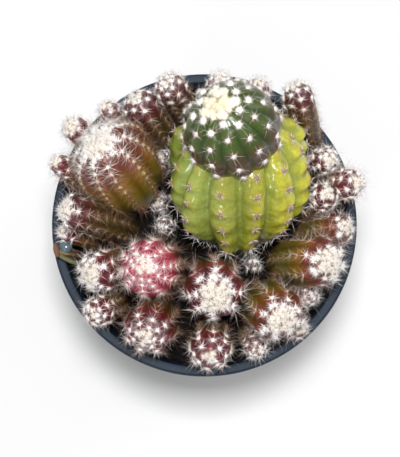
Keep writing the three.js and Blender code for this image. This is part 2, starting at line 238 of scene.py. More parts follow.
# A stem that rises from the soil at its foot and bends to its apex; places and radius in mm.
def plantedBody(foot, apex, radius, neck, rise, form, seed, swell=0.5, crown=0.95):
    start = np.array([*foot, 0]) * mm
    start[2] = soilLevel - plantingDepth
    end = np.array(apex) * mm
    bend = start + [0, 0, rise * (end[2] - start[2])]
    t = np.linspace(0, 1, 500)[:, None]
    curve = (1 - t) ** 2 * start + 2 * t * (1 - t) * bend + t * t * end
    run = np.concatenate([[0], np.cumsum(np.linalg.norm(np.diff(curve, axis=0), axis=1))])
    u = np.sin(np.linspace(0, pi / 2, 401))
    centres = np.column_stack([np.interp(u * run[-1], run, curve[:, k]) for k in range(3)])
    crownStart = 1 - crown * radius * mm / run[-1]
    k = np.clip((u - crownStart) / (1 - crownStart), 0, 1)
    radii = radius * mm * (neck + (1 - neck) * smooth(0, swell, u)) * np.sqrt(1 - k * k)
    radii[-1] = 0
    lean = unit((end - start)[:2])
    return bodyTable(centres, radii, np.array([-lean[1], lean[0], 0]), form, seed)


# A round body about a centre, with its crown towards a direction.
def ballBody(centre, direction, radius, halfHeight, form, seed):
    reach = unit(np.array(direction)) * halfHeight * mm
    u = np.linspace(0, pi, 401)
    centres = np.array(centre) * mm - np.cos(u)[:, None] * reach
    radii = radius * mm * np.sin(u)
    radii[[0, -1]] = 0
    return bodyTable(centres, radii, unit(np.cross([0, 0, 1], reach)), form, seed)


# Ribs wander a little round the stem, so that no two are as wide.
def wander(body, along, angle):
    return body.get("sway", 0) * (np.sin(2 * angle + 5 * along + 1) + 0.7 * np.sin(5 * angle - 6 * along))


# The rib nearest to a place, and how far off it the place is, in ribs.
def ribUnder(body, along, angle):
    phase = angle * body["ribs"] / tau - body["turn"] + wander(body, along, angle)
    rib = np.round(phase)
    return rib, phase - rib


# How far the body's lobes push its skin out: each has an angle in degrees and a share of the way up.
def bulge(body, along, angle):
    share = np.interp(along, body["along"], body["share"])
    out = 0
    for middle, height, push, wide, tall in body.get("lobes", []):
        aside = ((np.degrees(angle) - middle + 540) % 360 - 180) / wide
        out = out + push * mm * np.exp(-aside ** 2 - ((share - height) / tall) ** 2)
    return out


# Counts the areoles from the crown down to a depth; every other rib may be staggered.
def stepsDown(body, depth, rib):
    return np.interp(depth, body["depths"], body["count"]) - body["first"] - body["stagger"] * (rib % 2)


# Points on the body, at a share of the way to the crown and an angle round the axis.
def surface(body, along, angle, ribbed=True):
    def table(name):
        return np.column_stack([np.interp(along, body["along"], body[name][:, k]) for k in range(3)])

    radius = np.interp(along, body["along"], body["radii"])
    out = table("across") * np.cos(angle)[:, None] + table("up") * np.sin(angle)[:, None]
    rib, off = ribUnder(body, along, angle)
    crest = 1 - (2 * np.abs(off)) ** body["breadth"]
    depth = body["meridian"] * (1 - along)
    step = stepsDown(body, depth, rib)
    knob = (0.5 + 0.5 * np.cos(tau * step)) ** body["sharpness"]
    knobShare = body["knob"] * (1 - body["ironed"] * smooth(0.8, 2.2, depth / body["widest"]))
    if "knobby" in body:  # one side of the body has deeper knobs
        side, deeper = body["knobby"]
        knobShare = knobShare + deeper * smooth(0.3, 0.9, np.cos(angle - radians(side)))
    height = crest * (1 - knobShare * (1 - knob))
    # no two ribs grow alike: each has its own height and slow swellings along it
    own = body["uneven"][rib.astype(int) % body["ribs"]]
    wave = np.sin(step * 0.9 + 3 * own[:, 1]) * 0.6 + np.sin(step * 2.1 + 3 * own[:, 2]) * 0.4
    height = height * (1 - body["wild"] * (0.5 - 0.5 * own[:, 0] * 0.6 - 0.2 * wave))
    fade = smooth(0, 0.4 * body["widest"], radius)
    fade = fade * (1 - body["flat"] * smooth(0.9, 2.2, depth / body["widest"]))
    reach = radius * (1 - fade * body["furrow"] * (1 - height)) if ribbed else radius
    reach = reach + bulge(body, along, angle) * smooth(0, 0.3 * body["widest"], radius)
    return table("centres") + out * reach[:, None], height, depth


# Wraps a grid round a body, with its tone for the skin's material, and closes its foot.
def skinPiece(name, body, around, rows, ripenessAndPaintedLight):
    bpy.ops.object.select_all(action="DESELECT")
    bpy.ops.mesh.primitive_grid_add(x_subdivisions=around, y_subdivisions=rows, size=1)
    skin = bpy.context.object
    skin.name = skin.data.name = name
    mesh = skin.data
    flat = np.empty(len(mesh.vertices) * 3)
    mesh.vertices.foreach_get("co", flat)
    flat = flat.reshape(-1, 3)
    angle, along = (flat[:, 0] + 0.5) * tau, np.clip(flat[:, 1] + 0.5, 0, 1)
    points, height, depth = surface(body, along, angle)
    # nothing grows through the pot's wall
    wall = np.interp(points[:, 2] / mm, *potInside)
    out = np.maximum(np.hypot(points[:, 0], points[:, 1]), 1 * mm)
    points[:, :2] *= np.minimum(1, wall * mm / out)[:, None]
    mesh.vertices.foreach_set("co", points.ravel())
    rib, off = ribUnder(body, along, angle)
    step = stepsDown(body, depth, rib)
    radius = np.interp(along, body["along"], body["radii"])
    gapAcross = off * tau / body["ribs"] * radius
    gapAlong = (step - np.round(step)) * body["pitch"]
    near = np.exp(-(gapAcross ** 2 + gapAlong ** 2) / (body["areole"] * 0.75) ** 2)
    tone = np.column_stack([ripenessAndPaintedLight(points, depth), height, near * 0.8, np.ones(len(points))])
    mesh.attributes.new("tone", "FLOAT_COLOR", "POINT").data.foreach_set("color", tone.ravel())
    bpy.ops.object.mode_set(mode="EDIT")
    bpy.ops.mesh.select_all(action="SELECT")
    bpy.ops.mesh.remove_doubles(threshold=0.002 * mm)
    bpy.ops.mesh.select_all(action="DESELECT")
    bpy.ops.mesh.select_non_manifold()
    if body["radii"][0] > 0:
        bpy.ops.mesh.edge_face_add()  # closes the foot, inside the soil
    bpy.ops.mesh.select_all(action="SELECT")
    bpy.ops.mesh.normals_make_consistent(inside=False)
    bpy.ops.object.mode_set(mode="OBJECT")
    return skin


# The areoles along the crests of the ribs, above a height.
def areolesOf(body, lowest):
    angles, alongs = [], []
    for rib in range(body["ribs"]):
        steps = np.arange(body["first"], body["count"][-1], 1.0) + body["stagger"] * (rib % 2)
        depth = np.interp(steps[steps < body["count"][-1]], body["count"], body["depths"])
        along = 1 - depth / body["meridian"]
        middle = (rib + body["turn"]) * tau / body["ribs"]
        alongs.append(along)
        angles.append(middle - wander(body, along, middle) * tau / body["ribs"])
    return pick(spotsAt(body, np.concatenate(alongs), np.concatenate(angles)), lowest)


# A sunflower of young areoles over the crown, which reaches further out along the ribs.
def crownSpots(body, reach, spacing, shift, random):
    arms = 0.2  # how far it follows the ribs, as a share of its reach
    n = int(pi * reach ** 2 / (0.87 * spacing ** 2))  # as close as circles pack
    spread = reach * np.sqrt((np.arange(n) + 0.5) / n) * random.uniform(0.93, 1.07, n)
    angle = np.arange(n) * goldenAngle + random.uniform(-0.15, 0.15, n)
    off = ribUnder(body, 1 - spread / body["meridian"], angle)[1]
    kept = spread < reach * (1 - 0.8 * arms + arms * np.cos(tau * off))
    moved = np.array([*shift, 0]) * mm
    east = (spread * np.cos(angle) + moved @ body["across"][-1])[kept]
    north = (spread * np.sin(angle) + moved @ body["up"][-1])[kept]
    spots = spotsAt(body, 1 - np.hypot(east, north) / body["meridian"], np.arctan2(north, east))
    spots["spread"] = spread[kept]
    return spots


# The places at a share of the way to the crown and an angle, with the ways out, up and across there.
def spotsAt(body, along, angle):
    centre = surface(body, along, angle)[0]
    aside = surface(body, along, angle + 0.02, False)[0] - surface(body, along, angle - 0.02, False)[0]
    higher = surface(body, np.minimum(along + 0.004, 1), angle, False)[0]
    rise = higher - surface(body, along - 0.004, angle, False)[0]
    out = unit(np.cross(aside, rise))
    toCrown = unit(np.cross(out, aside))
    return {"centre": centre, "out": out, "toCrown": toCrown, "aside": unit(np.cross(toCrown, out)),
            "depth": body["meridian"] * (1 - along), "ageAndShade": np.zeros(len(along))}


# Some of the spots: those that a mask names, or those above a height.
def pick(spots, which):
    if np.isscalar(which):
        which = spots["centre"][:, 2] > which
    return {key: value[which] for key, value in spots.items()}


# Takes the points and triangles of a piece that was modelled to be copied.
def shapeOf(piece):
    mesh = piece.data
    mesh.calc_loop_triangles()
    points = np.array([v.co[:] for v in mesh.vertices])
    faces = np.array([t.vertices[:] for t in mesh.loop_triangles])
    bpy.data.objects.remove(piece)
    return points, faces


# An uneven ball.
def lumpShape(subdivisions, seed):
    rough = (0.8, 1.12)  # how far its points stand in or out
    bpy.ops.object.select_all(action="DESELECT")
    bpy.ops.mesh.primitive_ico_sphere_add(subdivisions=subdivisions, radius=1)
    points, faces = shapeOf(bpy.context.object)
    uneven = np.random.default_rng(seed).uniform(*rough, len(points))
    return points * uneven[:, None], faces


# A thin three-sided cone, which is all that shows of a spine this fine.
def coneShape():
    bpy.ops.object.select_all(action="DESELECT")
    bpy.ops.mesh.primitive_cone_add(vertices=3, radius1=1, radius2=0, depth=1, location=(0, 0, 0.5))
    bpy.ops.object.transform_apply(location=True)
    return shapeOf(bpy.context.object)


bristleShape = coneShape()
smallLump = lumpShape(1, 3)
roundLump = lumpShape(2, 5)


# Copies a shape to each root: width across, length along its direction, bent by a share of its length.
def copies(shape, root, direction, width, length, bend, shade, random):
    points, faces = shape
    n = len(root)
    helper = np.where(np.abs(direction[:, 2:]) < 0.9, [[0, 0, 1.0]], [[1.0, 0, 0]])
    right = unit(np.cross(direction, helper))
    front = np.cross(direction, right)
    spin = random.uniform(0, tau, n)[:, None]
    right, front = (right * np.cos(spin) + front * np.sin(spin),
                    front * np.cos(spin) - right * np.sin(spin))
    x, y, z = points.T
    sideways = width[:, None] * x + (bend * length)[:, None] * z ** 2
    placed = (root[:, None] + right[:, None] * sideways[..., None]
              + front[:, None] * (width[:, None] * y)[..., None]
              + direction[:, None] * (length[:, None] * z)[..., None])
    index = (faces[None] + (np.arange(n) * len(points))[:, None, None]).reshape(-1, 3)
    tone = np.zeros((n, len(points), 4))
    tone[..., 0] = shade[:, None]
    tone[..., 3] = 1
    return placed.reshape(-1, 3), index, tone.reshape(-1, 4)


# Joins batches of copies into one piece, held within the part's outer box.
def pieceOf(name, batches):
    points = np.concatenate([b[0] for b in batches])
    offsets = np.cumsum([0] + [len(b[0]) for b in batches[:-1]])
    faces = np.concatenate([b[1] + o for b, o in zip(batches, offsets)]).astype(np.int32)
    low, high = np.array(cadBox[0]), np.array(cadBox[1])
    spare = spareRoom * (high - low)
    points = np.clip(points, low - spare, high + spare)
    mesh = bpy.data.meshes.new(name)
    mesh.vertices.add(len(points))
    mesh.vertices.foreach_set("co", points.ravel())
    mesh.loops.add(faces.size)
    mesh.loops.foreach_set("vertex_index", faces.ravel())
    mesh.polygons.add(len(faces))
    mesh.polygons.foreach_set("loop_start", np.arange(0, faces.size, 3, dtype=np.int32))
    tone = np.concatenate([b[2] for b in batches])
    mesh.attributes.new("tone", "FLOAT_COLOR", "POINT").data.foreach_set("color", tone.ravel())
    mesh.update(calc_edges=True)
    mesh.validate()
    piece = bpy.data.objects.new(name, mesh)
    bpy.context.collection.objects.link(piece)
    return piece


# Spines fan out of each areole: lift is the angle off the skin, and comb turns them to the sides.
def fan(spots, count, habit, random):
    n = len(spots["centre"])
    owner = np.repeat(np.arange(n), count)
    turn = (np.tile(np.arange(count), n) + random.uniform(-0.35, 0.35, n * count)) * tau / count
    turn = turn + np.repeat(random.uniform(0, tau, n), count)
    turn = turn + habit.get("comb", 0) * np.sin(2 * turn)
    lift = np.radians(random.normal(habit["lift"], habit["spread"], n * count))
    flat = spots["toCrown"][owner] * np.cos(turn)[:, None] + spots["aside"][owner] * np.sin(turn)[:, None]
    direction = unit(spots["out"][owner] * np.sin(lift)[:, None] + flat * np.cos(lift)[:, None])
    length = habit["length"] * mm * random.uniform(0.7, 1.15, n * count)
    room = np.inf
    for k in range(3):  # spines stop short of the part's outer box
        for corner, sign in ((cadBox[0][k], -1), (cadBox[1][k], 1)):
            limit = corner + sign * (spareRoom - 0.001) * (cadBox[1][k] - cadBox[0][k])
            pace = direction[:, k] * sign
            gap = (limit - spots["centre"][owner, k]) * sign
            room = np.minimum(room, np.where(pace > 0.02, gap / np.maximum(pace, 0.02), np.inf))
    length = np.minimum(length, np.maximum(room, 0.3 * mm))
    shade = np.clip(habit["shade"] + spots["ageAndShade"][owner] + random.uniform(-0.15, 0.15, n * count), 0, 1)
    root = spots["centre"][owner] - spots["out"][owner] * 0.25 * mm  # rooted in the skin
    width = np.full(n * count, habit["width"] / 2 * mm)
    bend = random.uniform(-0.06, 0.06, n * count)
    return copies(bristleShape, root, direction, width, length, bend, shade, random)


# A flat lump of felt under each areole's bristles.
def pads(spots, habit, random, shape=smallLump):
    n = len(spots["centre"])
    width = habit["width"] / 2 * mm * random.uniform(0.8, 1.15, n)
    root = spots["centre"] + spots["out"] * habit.get("raised", 0.1) * mm
    shade = np.clip(habit["shade"] + spots["ageAndShade"] + random.uniform(-0.2, 0.2, n), 0, 1)
    return copies(shape, root, spots["out"], width, width * habit["thick"], np.zeros(n), shade, random)


# heights and radii in mm
potShape = {"height": 88, "foot": 36, "footEdge": 1.2, "shoulder": 47.6, "shoulderHeight": 79, "rim": 50,
            "lip": 46.8, "wall": 1.4, "floor": 2.2, "sides": 128, "holes": 6, "holeRadius": 3.5,
            "holeCircle": 23}

# Injection-moulded polypropylene, filled slate grey: smooth, low sheen, with a satin highlight on
# the rim and a very fine mould texture, drawn 0.5 mm coarse so that it shows.
potPlastic, tree, shader = newMaterial("slate_moulded_polypropylene",
                                       {"Roughness": 0.5, "IOR": 1.45, "Specular IOR Level": 0.14})
place = addNode(tree, "ShaderNodeTexCoord").outputs["Object"]
wear = addNode(tree, "ShaderNodeTexNoise", {"Scale": 1 / (14 * mm), "Detail": 5.0}, {"Vector": place})
plastic = setRamp(addNode(tree, "ShaderNodeValToRGB", {}, {"Fac": wear.outputs["Fac"]}),
                  [(0.3, "#1a2430"), (0.7, "#222e3c")])
tree.links.new(plastic, shader.inputs["Base Color"])
grain = addNode(tree, "ShaderNodeTexNoise", {"Scale": 1 / (0.5 * mm), "Detail": 1.0}, {"Vector": place})
mould = addNode(tree, "ShaderNodeBump", {"Strength": 0.15, "Distance": 0.05 * mm},
                {"Height": grain.outputs["Fac"]})
tree.links.new(mould.outputs["Normal"], shader.inputs["Normal"])


def buildPot(shape):
    foot, edge, shoulder = shape["foot"], shape["footEdge"], shape["shoulder"]
    bandFoot, top, rim, lip = shape["shoulderHeight"], shape["height"], shape["rim"], shape["lip"]

    def inner(z):
        return foot + (shoulder - foot) / bandFoot * z - shape["wall"]

    bpy.ops.object.select_all(action="DESELECT")
    bpy.ops.mesh.primitive_cylinder_add(vertices=shape["sides"], radius=foot * mm, depth=edge * mm,
                                        location=(0, 0, edge / 2 * mm))
    bpy.ops.object.transform_apply(location=True)
    pot = bpy.context.object
    pot.name = pot.data.name = "plastic_pot"
    height, radius = edge, foot
    # height and radius of each ring: outside, rim band, lip, then down the inside to the floor
    rings = [(edge, foot + 0.5), (40, inner(40) + shape["wall"]), (bandFoot - 0.6, shoulder - 0.1),
             (bandFoot, shoulder + 0.5), (bandFoot + 0.2, rim - 0.8), (bandFoot + 0.8, rim - 0.45),
             (top - 1.1, rim - 0.05), (top - 0.4, rim - 0.25), (top, rim - 0.8), (top, lip + 0.7),
             (top - 0.2, lip + 0.2), (top - 0.8, lip), (top - 6, lip - 0.25), (top - 8, inner(80)),
             (40, inner(40)), (3, inner(3)), (shape["floor"], inner(3) - 0.8)]
    bpy.ops.object.mode_set(mode="EDIT")
    bpy.ops.mesh.select_all(action="DESELECT")
    bpy.ops.object.mode_set(mode="OBJECT")
    max(pot.data.polygons, key=lambda face: face.center.z).select = True
    bpy.ops.object.mode_set(mode="EDIT")
    for ringHeight, ringRadius in rings:
        bpy.ops.mesh.extrude_region_move(TRANSFORM_OT_translate={"value": (0, 0, (ringHeight - height) * mm)})
        bpy.ops.transform.resize(value=(ringRadius / radius, ringRadius / radius, 1))
        height, radius = ringHeight, ringRadius
    bpy.ops.mesh.select_all(action="SELECT")
    bpy.ops.mesh.remove_doubles(threshold=0.001 * mm)
    bpy.ops.mesh.normals_make_consistent(inside=False)
    bpy.ops.object.mode_set(mode="OBJECT")
    for i in range(shape["holes"]):
        turn = tau * i / shape["holes"]
        spot = (shape["holeCircle"] * cos(turn) * mm, shape["holeCircle"] * sin(turn) * mm, 0)
        bpy.ops.mesh.primitive_cylinder_add(vertices=24, radius=shape["holeRadius"] * mm, depth=12 * mm,
                                            location=spot)
        drill = bpy.context.object
        bpy.context.view_layer.objects.active = pot
        cut = pot.modifiers.new("drain", "BOOLEAN")
        cut.object, cut.operation = drill, "DIFFERENCE"
        bpy.ops.object.modifier_apply(modifier="drain")
        bpy.data.objects.remove(drill)
    return pot


finishPiece(buildPot(potShape), potPlastic, "pot", smoothAngle=32)
print("pot done")

# Damp peat with a little grit: nearly black, matt, with clods of 1 to 3 mm. The near-black is partly
# painted shade for the deep gaps between the stems.
peat, tree, shader = newMaterial("damp_peat_soil_and_painted_shade", {"Roughness": 0.95, "Specular IOR Level": 0.2})
place = addNode(tree, "ShaderNodeTexCoord").outputs["Object"]
crumb = addNode(tree, "ShaderNodeTexNoise", {"Scale": 1 / (1.5 * mm), "Detail": 4.0}, {"Vector": place})
earth = setRamp(addNode(tree, "ShaderNodeValToRGB", {}, {"Fac": crumb.outputs["Fac"]}),
                [(0.35, "#060505"), (0.6, "#120e0b"), (0.8, "#261e18")])
tree.links.new(earth, shader.inputs["Base Color"])

# clods lie over the soil in slow heaps; sizes in mm
soilHabit = {"clods": 1500, "radius": 45.2, "sizes": (0.5, 1.9), "flatness": 0.7, "heap": 0.9,
             "rise": (-0.5, 0.6)}


def buildClods(habit):
    random = np.random.default_rng(11)
    n = habit["clods"]
    distance = habit["radius"] * np.sqrt(random.uniform(0, 1, n))
    turn = random.uniform(0, tau, n)
    heap = soilLevel / mm + habit["heap"] * np.sin(distance * 0.33 + 2 * np.cos(turn * 2))
    heap = heap + random.uniform(*habit["rise"], n)
    places = np.column_stack([distance * np.cos(turn), distance * np.sin(turn), heap]) * mm
    size = random.uniform(*habit["sizes"], n) * mm
    ways = unit(random.normal(0, 1, (n, 3)))
    straight, plain = np.zeros(n), np.zeros(n)
    lumps = copies(smallLump, places, ways, size, size * habit["flatness"], straight, plain, random)
    return pieceOf("peat_clods", [lumps])


finishPiece(buildClods(soilHabit), peat)
# the soil's own solid stays under them, in the same peat
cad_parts["soil"].data.materials.clear()
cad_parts["soil"].data.materials.append(peat)
print("soil done")

# name, foot, apex and radius in mm, neck and rise as shares, skin, and how far the white crown reaches as
# a share of the radius
smallStems = [
    ("stem_01", (-6, 36.5), (-12, 42, 108.5), 5.0, 0.5, 0.5, "brown", 0.3),
    ("stem_02", (-14, 27.5), (-22, 37, 107), 6.0, 0.5, 0.5, "brown", 0.6),
    ("stem_03", (-26, 29.5), (-31.5, 36, 101), 3.4, 0.6, 0.5, "maroon", 0.85),
    ("stem_04", (-33.8, 24.4), (-43, 29.2, 105.5), 4.0, 0.5, 0.6, "maroon", 1.3),
    ("stem_05", (-23.5, 12), (-32.9, 22.4, 116), 12.2, 0.4, 0.62, "olive", 0.66),
    ("stem_06", (-37, 11.5), (-47.5, 18, 103), 3.4, 0.6, 0.6, "maroon", 1.0),
    ("stem_07", (-26.5, -0.6), (-44.4, 2.4, 103.5), 5.8, 0.5, 0.5, "brown", 0.92),
    ("stem_08", (-37, -5), (-46, -4, 94), 3.0, 0.6, 0.5, "maroon", 0.75),
    ("stem_09", (-28, -13.4), (-36, -18.4, 104), 6.1, 0.5, 0.5, "maroon", 1),
    ("stem_10", (-29, -26.2), (-35.4, -30.4, 99), 4.5, 0.6, 0.5, "maroon", 0.5),
    ("stem_11", (-14.6, -15), (-19, -17.2, 113), 8.8, 0.45, 0.5, "crimson", 0.5),
    ("stem_12", (-15.8, -31), (-18.3, -37.6, 106), 7.8, 0.5, 0.5, "maroon", 0.42),
    ("stem_13", (2.5, -36), (1.5, -44, 103), 6.2, 0.5, 0.5, "maroon", 0.56),
    ("stem_14", (3, -19.2), (3, -25.8, 113), 9.0, 0.45, 0.5, "maroon", 0.97),
    ("stem_15", (14.5, -36), (17, -42, 96), 3.6, 0.6, 0.5, "maroon", 0.3),
    ("stem_16", (19.5, -25.2), (24.6, -33.4, 111), 8.1, 0.45, 0.5, "olive", 0.9),
    ("stem_17", (27.5, -31.5), (30.5, -36, 98), 3.0, 0.6, 0.7, "maroon", 0.65),
    ("stem_18", (31.5, -22), (33.5, -25, 95), 3.6, 0.6, 0.5, "maroon", 0.25),
    ("stem_19", (27.5, -12.6), (39.6, -15, 109.5), 7.8, 0.5, 0.5, "olive", 0.95),
    ("stem_20", (33.5, -3.5), (45, -3.2, 102), 5.0, 0.45, 0.5, "olive", 0.78),
    ("stem_21", (35, 4.2), (38.5, 7.2, 106), 4.0, 0.5, 0.5, "maroon", 0.85),
    ("stem_22", (40, 11.4), (47.8, 10, 108), 4.5, 0.45, 0.65, "maroon", 0.7),
    ("stem_23", (35.5, 19), (39.5, 18.5, 103), 4.0, 0.5, 0.5, "maroon", 0.7),
    ("stem_24", (34.6, 25), (28.1, 40.6, 110.5), 4.7, 0.5, 0.62, "brown", 0.62),
    ("stem_25", (16.5, 36.5), (17.5, 43.8, 101), 3.7, 0.6, 0.5, "maroon", 0.5),
    ("stem_26", (4.5, 38.5), (5, 45.5, 101), 3.8, 0.6, 0.5, "maroon", 0.45),
    ("stem_27", (-13, 20.5), (-13.5, 21.5, 91), 2.4, 0.7, 0.5, "grey", 0.6),
    ("stem_28", (-14, 7), (-15.5, 6.5, 90), 2.8, 0.6, 0.5, "grey", 0.6),
    ("stem_29", (-11.5, -1), (-13.5, -0.5, 89), 3.0, 0.6, 0.5, "grey", 0.3),
    ("stem_30", (15.5, -13.5), (16.2, -13.5, 88), 2.6, 0.6, 0.5, "grey", 0.3),
]
roundStem = {"name": "stem_05", "swell": 0.62, "pitch": 2.4, "comb": 0.6, "aged": 0.5, "spacing": 1.5,
             "longer": 1.3, "pad": 0.35}  # fullest further up, closely combed
# how far a stem's white crown sits off its tip, east and north in mm
crownShift = {"stem_05": (0.2, -2.0), "stem_11": (0, 0.8), "stem_16": (-1.2, 0.2), "stem_19": (-1.5, 0),
              "stem_23": (0, -1.2)}
# these show more flesh on their flanks
bareStems = ("stem_02", "stem_07", "stem_12", "stem_14", "stem_16", "stem_19", "stem_20")
# what all small stems share, in mm: the radii above which a stem is stout, full, not slim and not thin,
# where areoles start, the pot's wall, which they keep clear of, where the back of the pot starts and the
# spacing of a crown's stars; then, as shares, its heart, its brim and the brim's stars left out
stemHabit = {"stout": 9.5, "full": 7, "slim": 3.8, "thin": 3.2, "lowest": 85, "wallTop": 91,
             "wallRadius": 41, "back": 25, "spacing": 1.75, "heart": 0.62, "brim": 0.86, "leftOut": 0.12}


# The crown's stars run together round a cream heart with dark pores; below it, on the shoulder, each
# areole is a star of its own, and the flank has a sparse comb.
def sortAreoles(habit, body, name, radius, cap, odd, random):
    white = max(cap * radius, 1.2)
    shift = crownShift.get(name, (0, 0))
    crown = crownSpots(body, white * mm, odd.get("spacing", habit["spacing"]) * mm, shift, random)
    inHeart = crown["spread"] < habit["heart"] * white * mm
    kept = random.uniform(0, 1, len(crown["ageAndShade"])) > habit["leftOut"]
    spots = areolesOf(body, habit["lowest"] * mm)
    besideWall = np.hypot(spots["centre"][:, 0], spots["centre"][:, 1]) > habit["wallRadius"] * mm
    besideWall = besideWall & (spots["centre"][:, 2] < habit["wallTop"] * mm)
    spots = pick(spots, ~besideWall)  # bare where a stem leans on the pot
    crownCentre = surface(body, np.ones(1), np.zeros(1))[0][0] + np.array([*shift, 0]) * mm
    apart = np.linalg.norm(spots["centre"] - crownCentre, axis=1) / mm
    # browner further from the crown: older spines, and also painted shade in the dark gaps low between stems
    spots["ageAndShade"] = (odd.get("aged", 0) * smooth(white, white + 5, apart)
                    + 0.8 * smooth(white, white + 13, apart))
    edge = radius if name in bareStems else 1.3 * radius + 3
    shoulder = pick(spots, (apart > habit["brim"] * white) & (apart < edge))
    return crown, pick(crown, inHeart), pick(crown, ~inHeart & kept), shoulder, pick(spots, apart >= edge)


def buildSmallStem(habit, number, name, foot, apex, radius, neck, rise, skinKind, cap):
    odd = roundStem if name == roundStem["name"] else {}
    pink = skinKind == "crimson"  # its ribs hardly show, and its areoles stand closer
    stout = radius > habit["stout"]
    ribs = 10 if pink or stout else 8 if radius > habit["thin"] else 6
    form = {"ribs": ribs, "furrow": 0.07 if pink else 0.21 - 0.007 * radius, "breadth": 2.3,
            "knob": 0.5 if pink else 0.7, "ironed": 0.7, "sharpness": 1.0, "stagger": 0.5, "first": 0.3,
            "flat": 0.6, "wild": 0.3, "sway": 0.08, "turn": 0.0, "young": 0.6, "areole": 1.1 * mm,
            "pitch": odd.get("pitch", 3.0 if pink else 2.9 + 0.1 * radius) * mm}
    body = plantedBody(foot, apex, radius * 1.05, neck + (0.1 if stout else 0.36), rise, form, number,
                       odd.get("swell", 0.5))
    outwards = unit(np.array(apex[:2]) + 1e-6)
    axis = np.array(apex[:2]) * mm
    reach = (1.25 * radius + 5) * mm  # how far down the crown's colour goes

    # riper towards the crown and on the side that faces out of the pot
    def ripenessAndPaintedLight(points, depth):
        facing = np.clip((points[:, :2] - axis) @ outwards / (radius * mm), -1.5, 1)
        return np.clip(1.02 - 0.95 * smooth(0.3 * reach, 1.7 * reach, depth) + 0.17 * facing, 0, 1)

    fine = 1.4 if radius > habit["full"] else 1  # a finer mesh on the full stems
    skin = skinPiece(f"skin_{name}", body, int(ribs * 8 * fine), int(44 * fine) + 6, ripenessAndPaintedLight)
    finishPiece(skin, flesh[skinKind], name)

    random = np.random.default_rng(100 + number)
    crown, heart, brim, shoulder, flank = sortAreoles(habit, body, name, radius, cap, odd, random)
    length = 2.6 + 0.07 * radius
    far = length * (1.2 if apex[1] > habit["back"] else 2.0)  # spines are shorter at the back of the pot
    near, width = length * odd.get("longer", 1), 0.15 if pink or odd else 0.18
    comb = odd.get("comb", 0.25)
    spines = [
        fan(brim, 14, {"lift": 27, "spread": 15, "length": 2.4, "width": 0.26, "shade": 0.0}, random),
        fan(heart, 10, {"lift": 34, "spread": 16, "length": 2.1, "width": 0.22, "shade": 0.0}, random),
        fan(crown, 3, {"lift": 60, "spread": 14, "length": length * 0.9, "width": 0.22, "shade": 0.0},
            random),
        fan(shoulder, 15 if odd else 13, {"lift": 24, "spread": 15, "length": near, "width": width,
                                          "shade": 0.04, "comb": comb}, random),
        fan(shoulder, 4, {"lift": 46, "spread": 18, "length": far * 0.85, "width": 0.12, "shade": 0.3},
            random),
        fan(flank, 8, {"lift": 32, "spread": 18, "length": length * 1.2, "width": 0.11, "shade": 0.2,
                       "comb": comb}, random),
        fan(flank, 2, {"lift": 50, "spread": 18, "length": far, "width": 0.11, "shade": 0.3}, random),
    ]
    finishPiece(pieceOf(f"spines_{name}", spines), spineFibre)
    sparse = pink or radius < habit["slim"]  # less wool in each areole
    fluff = 0.95 if sparse else 1.2
    wool = [
        fan(brim, 24, {"lift": 40, "spread": 26, "length": 1.15, "width": 0.32, "shade": 0.0}, random),
        fan(heart, 34, {"lift": 20, "spread": 13, "length": 1.7, "width": 0.28, "shade": 0.42}, random),
        fan(heart, 16, {"lift": 50, "spread": 20, "length": 1.1, "width": 0.28, "shade": 0.2}, random),
        pads(shoulder, {"width": odd.get("pad", 1.0), "thick": 0.4, "shade": 0.0, "raised": 0}, random),
        fan(shoulder, 22 if sparse else 36, {"lift": 36, "spread": 26, "length": fluff, "width": 0.32,
                                             "shade": 0.0}, random),
        fan(flank, 8, {"lift": 45, "spread": 24, "length": 0.8, "width": 0.22, "shade": 0.2}, random),
    ]
    finishPiece(pieceOf(f"wool_{name}", wool), woolFibre)


for number, row in enumerate(smallStems, 1):
    buildSmallStem(stemHabit, number, *row)
print("small stems done")

# places and sizes in mm; areoles start at lowest, keep headGap from the head's middle, and have longer
# spines below fringe
stockShape = {
    "foot": (10.5, -3), "apex": (11.2, 29, 119.5), "radius": 23.4, "neck": 0.26, "rise": 0.31, "swell": 0.59,
    "crown": 0.96, "lowest": 80, "headGap": 15.8, "fringe": 104,
    "form": {"ribs": 12, "furrow": 0.22, "breadth": 2.6, "knob": 0.14, "knobby": (190, 0.14), "ironed": 0.0,
             "sharpness": 1.0, "stagger": 0.0, "first": 0.55, "flat": 0.0, "wild": 0.4, "sway": 0.1,
             "turn": 0.5, "pitch": 5.8 * mm, "young": 0.8, "areole": 1.7 * mm,
             # angles run from the left over the front; lobes: angle, share of the way up, push, half widths
             "lobes": [(204, 0.87, 3.4, 18, 0.1), (-22, 0.82, 2.2, 20, 0.11), (150, 0.45, 1.2, 20, 0.14),
                       (88, 0.33, 3.6, 20, 0.12), (42, 0.43, 2.4, 20, 0.14)]}}
# depths below the crown in mm: firstWool, where wool starts, tuft, where the crown's own spines end,
# laterWool, where it gets shorter, and bare, where areoles end; then the crown wool's clumps
headShape = {
    "centre": (8.1, 23.2, 124.2), "direction": (-0.28, 0.31, 0.91), "radius": 15.0, "halfHeight": 15.1,
    "lowest": 100, "firstWool": 4.5, "tuft": 7, "laterWool": 10, "bare": 28,
    "clumps": 16, "perClump": 7, "crownReach": 5.4, "scatter": 0.62,
    "form": {"ribs": 12, "furrow": 0.08, "breadth": 2.0, "knob": 0.3, "ironed": 0.0, "sharpness": 0.8,
             "stagger": 0.5, "first": 0.5, "flat": 0.0, "wild": 0.2, "turn": 0.0, "pitch": 5.6 * mm,
             "young": 0.75, "areole": 2.4 * mm}}


